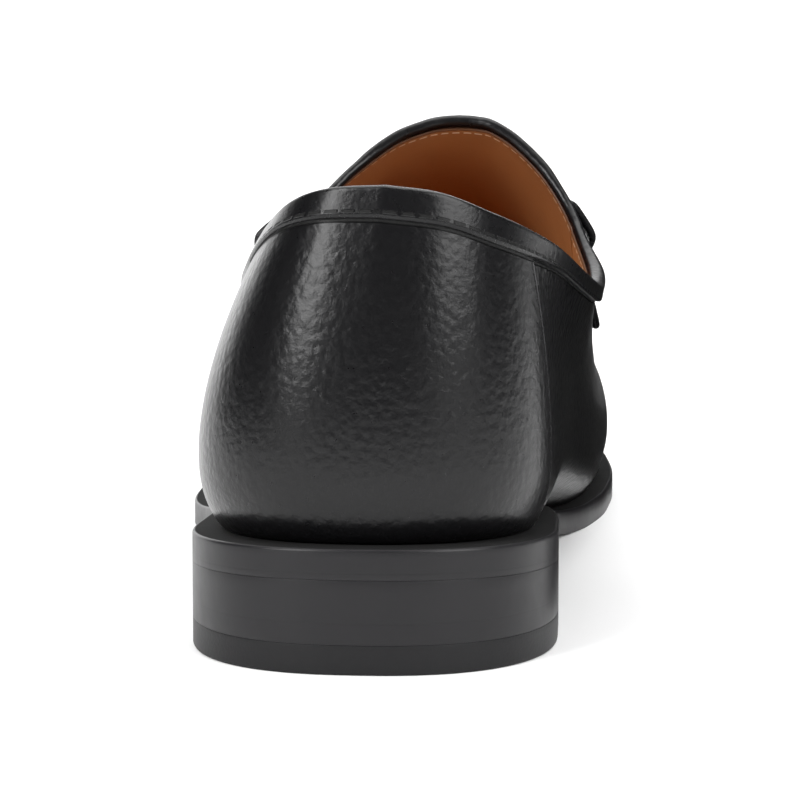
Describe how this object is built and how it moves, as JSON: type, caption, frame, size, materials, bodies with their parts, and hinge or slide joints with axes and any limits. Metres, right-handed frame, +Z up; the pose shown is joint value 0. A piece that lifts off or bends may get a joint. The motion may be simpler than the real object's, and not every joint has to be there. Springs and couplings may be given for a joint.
{
  "type": "bit loafer",
  "caption": "Left dress loafer with a lasted leather upper, collar band, strap with a plain snaffle bit, leather sole and low stacked heel.",
  "frame": {"origin": "middle of the shoe's box, on the floor", "axes": "+Y from heel to toe, +Z up, +X towards the wearer's other foot (the inner side)"},
  "size_m": [0.0964, 0.3, 0.0936],
  "materials": {
    "calf": "black grained calf, semi-gloss",
    "lining": "tan calf lining, satin",
    "sole_leather": "black burnished sole edge and heel, semi-gloss",
    "lift_rubber": "matt black rubber",
    "bit_metal": "polished"
  },
  "bodies": {
    "root": {"upper": "calf", "strap": "calf", "insole": "lining", "outsole": "sole_leather", "heel_stack": "sole_leather", "heel_top_lift": "lift_rubber", "bit": "bit_metal"}
  },
  "joints": []
}
